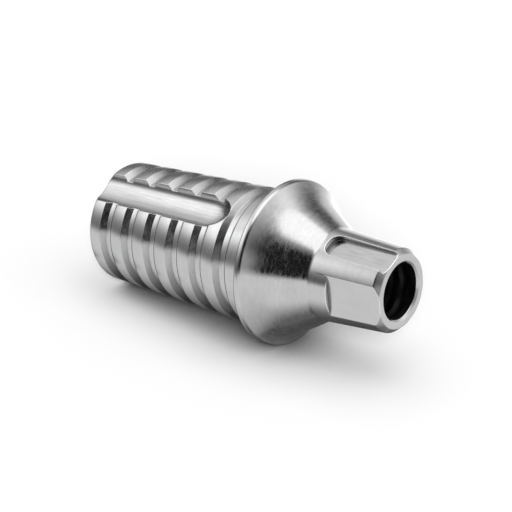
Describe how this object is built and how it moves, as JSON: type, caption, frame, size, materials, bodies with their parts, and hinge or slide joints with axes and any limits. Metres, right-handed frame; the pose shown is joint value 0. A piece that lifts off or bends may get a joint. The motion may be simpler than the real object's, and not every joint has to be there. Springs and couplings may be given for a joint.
{
  "type": "dental abutment",
  "caption": "Turned metal implant abutment: a grooved, slotted bonding post, a flared collar and a tapered connection with indexing flats round a screw hole.",
  "frame": {"origin": "centre of the bonding post's end face, on the part's axis, which the part stands on", "axes": "+Z along the part's axis, from the bonding post towards the implant connection; +X through the middle of the post's channel"},
  "size_m": [0.005, 0.005, 0.0106],
  "materials": {
    "titanium": "fine turned satin titanium alloy"
  },
  "bodies": {
    "root": {"abutment": "titanium"}
  },
  "joints": []
}
